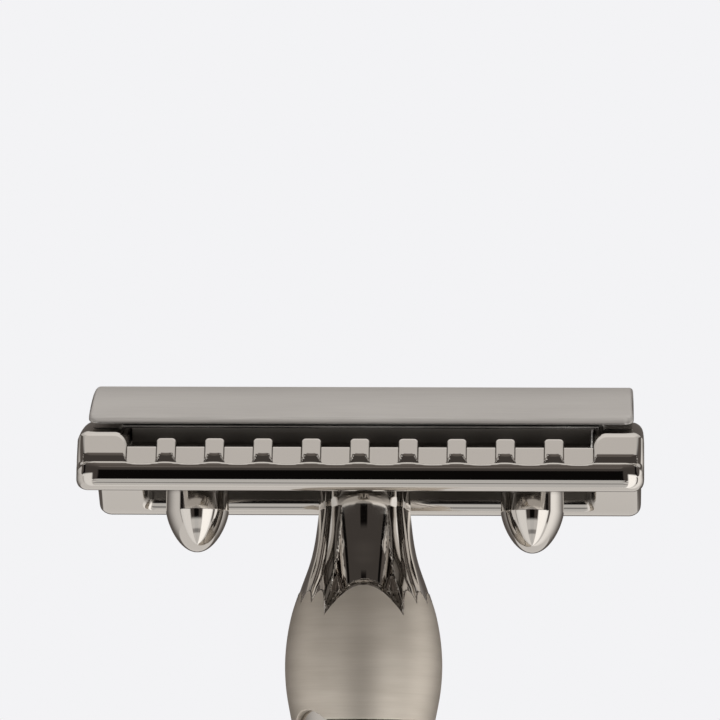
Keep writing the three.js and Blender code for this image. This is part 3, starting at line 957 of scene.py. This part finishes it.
def make_post(node):
    """A locating post with a rounded tip."""
    centre = (low(node) + high(node)) / 2
    tip = 0.35
    profile = [(0, POST_TIP)]
    profile += arc_points((POST_RADIUS - tip, POST_TIP + tip), tip, -90, 0, 8)
    profile += [(POST_RADIUS, POST_SEAT), (0, POST_SEAT)]
    post = turned(node + "_round", profile, PLAIN_STEEL, "cap", GUARD_Z, around=64, angle=40)
    for vertex in post.data.vertices:
        vertex.co.x += centre[0] * MM
    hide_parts(node)


# ---- the camera, the floor and the tent of light ----
AZIMUTH = math.radians(2.3)
ELEVATION = math.radians(-6.6)
ROLL = math.radians(0.4)
DISTANCE = 0.425
LENS = 272.0
AIM_INSET = 0.5  # the point looked at is this far behind the guard's front edge
AIM_HEIGHT = 10.23


def make_camera():
    camera = bpy.data.objects.new("camera", bpy.data.cameras.new("camera"))
    bpy.context.scene.collection.objects.link(camera)
    camera.data.sensor_width = 36
    camera.data.lens = LENS
    camera.data.clip_start = 0.01
    camera.data.clip_end = 20
    forward = np.array([
        -math.sin(AZIMUTH) * math.cos(ELEVATION),
        math.cos(AZIMUTH) * math.cos(ELEVATION),
        -math.sin(ELEVATION),
    ])
    aim = np.array([0, AIM_INSET - PLATE_HALF_DEPTH, GUARD_Z + AIM_HEIGHT]) * MM
    camera.location = aim - forward * DISTANCE
    right = np.cross(forward, (0, 0, 1))
    right /= np.linalg.norm(right)
    up = np.cross(right, forward)
    rolled_right = right * math.cos(ROLL) + up * math.sin(ROLL)
    rolled_up = up * math.cos(ROLL) - right * math.sin(ROLL)
    rows = np.array([rolled_right, rolled_up, -forward])
    camera.rotation_euler = Matrix(rows.T.tolist()).to_euler()
    bpy.context.scene.camera = camera


FLOOR_RADIUS = 0.16
FLOOR_DROP = 0.0002
FLOOR_COLOR = (0.8, 0.8, 0.81)
FLOOR_GLOW = (0.9, 0.9, 0.92)
FLOOR_GLOW_STRENGTH = 0.32


def make_floor():
    """A plain pale disc under the foot."""
    mesh = bpy.data.meshes.new("floor")
    made = bmesh.new()
    bmesh.ops.create_circle(made, cap_ends=True, segments=96, radius=FLOOR_RADIUS)
    made.to_mesh(mesh)
    made.free()
    floor = bpy.data.objects.new("floor", mesh)
    bpy.context.scene.collection.objects.link(floor)
    floor.location.z = -FLOOR_DROP
    pale = material("floor_pale", FLOOR_COLOR, 0.9, 0.0)
    shader = pale.node_tree.nodes["Principled BSDF"]
    shader.inputs["Emission Color"].default_value = (*FLOOR_GLOW, 1)
    shader.inputs["Emission Strength"].default_value = FLOOR_GLOW_STRENGTH
    mesh.materials.append(pale)
    floor.visible_glossy = False  # the tent's own light from below is what the metal shows


BACKDROP = (0.896, 0.896, 0.913)
TENT_TINT = (1, 0.985, 0.96)
ROOM_TINT = (1.0, 0.88, 0.8)

# The tent by direction, in degrees. A slope is (start, end), with the brightness at each where
# it isn't 0 and 1, and a band is (start, full, fading, end).
FRONT_OPENING = (58, 64, 1, 0)
OVERHEAD_FOOT = (34, 41)
OVERHEAD_GLOW = (54, 68, 0.6, 0.86)
BELOW_GLOW = (-26, -33, 0, 0.72)
STRIPE_BAND = (-57, -53, -49, -45)
STRIPE_SIDES = (25, 40, 1, 0)
STRIPE_SHADE = 0.6
PANEL_MIDDLE = 3.5
PANEL_BAND = (65, 70, 80, 150)
PANEL_TOP = (66, 96, 6, 24)
PANEL_TOP_EDGE = (-2, 2, 1, 0)
PANEL_SIDES = (-60, 60, 0.68, 1.15)
FLANK_BAND = (20, 26, 58, 66)
FLANK_TOP = (-1, 3, 1, 0)
FLANK_SIDES = (-20, 20, 1.0, 1.5)
ROOM_HAZE = (15, 34, 0.07, 0.17)
LAMP_BAND = (20, 21.5, 23, 24.5)
LAMP_SIDES = (4, 9, 0.12, 0)
SHADOW_SIDES = (7, 11, 1, 0)
SHADOW_TOP = (9.5, 13, 1, 0)
FRAME_BAND = (50, 53, 60, 64)
BEHIND_GLOW = 0.12
DARKEST = 0.005


def tent_light(f, azimuth, elevation):
    """The white tent's brightness by direction: azimuth 0 is the front, 90 the right."""
    sideways = f.math("ABSOLUTE", azimuth)
    from_middle = f.math("ABSOLUTE", f.math("SUBTRACT", azimuth, PANEL_MIDDLE))

    overhead = f.math("MULTIPLY", f.ramp(elevation, *OVERHEAD_FOOT), f.ramp(elevation, *OVERHEAD_GLOW))
    stripe = f.math("MULTIPLY", f.between(elevation, *STRIPE_BAND), f.ramp(sideways, *STRIPE_SIDES))
    left_light = f.math("SUBTRACT", 1.0, f.math("MULTIPLY", stripe, STRIPE_SHADE))
    below = f.math("MULTIPLY", f.ramp(elevation, *BELOW_GLOW), left_light)

    over_top = f.math("SUBTRACT", elevation, f.ramp(from_middle, *PANEL_TOP))
    panel = f.math("MULTIPLY", f.ramp(over_top, *PANEL_TOP_EDGE), f.between(from_middle, *PANEL_BAND))
    panel = f.math("MULTIPLY", panel, f.ramp(azimuth, *PANEL_SIDES))
    flank = f.math("MULTIPLY", f.between(sideways, *FLANK_BAND), f.ramp(elevation, *FLANK_TOP))
    flank = f.math("MULTIPLY", flank, f.ramp(azimuth, *FLANK_SIDES))
    return f.math("MAXIMUM", f.math("MAXIMUM", overhead, below), f.math("MAXIMUM", panel, flank))


def room_light(f, azimuth, elevation):
    """The dark room's brightness by direction: a haze with one lamp and two shadows in it."""
    sideways = f.math("ABSOLUTE", azimuth)
    front = f.ramp(sideways, *FRONT_OPENING)
    lamp = f.math("MULTIPLY", f.between(elevation, *LAMP_BAND), f.ramp(sideways, *LAMP_SIDES))
    shadow = f.math("MULTIPLY", f.ramp(sideways, *SHADOW_SIDES), f.ramp(elevation, *SHADOW_TOP))
    shaded = f.math("MAXIMUM", shadow, f.between(sideways, *FRAME_BAND))
    room = f.math("ADD", f.ramp(elevation, *ROOM_HAZE), lamp)
    room = f.math("MULTIPLY", room, f.math("SUBTRACT", 1.0, shaded))
    room = f.math("MULTIPLY", room, front)
    behind = f.math("MULTIPLY", f.math("SUBTRACT", 1.0, front), BEHIND_GLOW)
    return f.math("ADD", f.math("ADD", room, behind), DARKEST)


def make_world():
    """A white tent of light, open in front to a dark room, with a plain pale backdrop."""
    world = bpy.data.worlds.new("tent")
    bpy.context.scene.world = world
    world.use_nodes = True
    tree = world.node_tree
    tree.nodes.clear()
    f = Formula(tree)
    direction = tree.nodes.new("ShaderNodeTexCoord").outputs["Generated"]
    split = tree.nodes.new("ShaderNodeSeparateXYZ")
    tree.links.new(direction, split.inputs[0])
    x, y, z = split.outputs
    to_front = f.math("MULTIPLY", y, -1.0)
    azimuth = f.math("MULTIPLY", f.math("ARCTAN2", x, to_front), 180 / math.pi)
    elevation = f.math("MULTIPLY", f.math("ARCSINE", z), 180 / math.pi)

    shades = []
    for light, color in ((tent_light, TENT_TINT), (room_light, ROOM_TINT)):
        shade = tree.nodes.new("ShaderNodeBackground")
        shade.inputs["Color"].default_value = (*color, 1)
        tree.links.new(light(f, azimuth, elevation), shade.inputs["Strength"])
        shades.append(shade)
    together = tree.nodes.new("ShaderNodeAddShader")
    for socket, shade in zip(together.inputs, shades):
        tree.links.new(shade.outputs[0], socket)
    seen = tree.nodes.new("ShaderNodeBackground")
    seen.inputs["Color"].default_value = (*BACKDROP, 1)
    choose = tree.nodes.new("ShaderNodeMixShader")
    path = tree.nodes.new("ShaderNodeLightPath")
    tree.links.new(path.outputs["Is Camera Ray"], choose.inputs["Fac"])
    tree.links.new(together.outputs[0], choose.inputs[1])
    tree.links.new(seen.outputs[0], choose.inputs[2])
    output = tree.nodes.new("ShaderNodeOutputWorld")
    tree.links.new(choose.outputs[0], output.inputs["Surface"])
    bpy.context.scene.view_settings.view_transform = "Standard"


make_camera()
make_floor()
make_world()
make_cap()
make_base_plate()
make_neck()
make_bulb()
make_ring("upper_ring", COLLAR_TOP + GUARD_Z)
make_ring("lower_ring")
make_grip()
make_pommel()
make_foot_disc()
make_stud()
make_post("locating_post_left")
make_post("locating_post_right")

CAD_METALS = {
    "blade": BLADE_STEEL,
    "tie_rod": PLAIN_STEEL,
    "spring_washer": PLAIN_STEEL,
    "tie_rod_nut": PLAIN_STEEL,
}
for node, metal in CAD_METALS.items():
    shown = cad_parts[node]
    shown.data.materials.clear()
    shown.data.materials.append(metal)
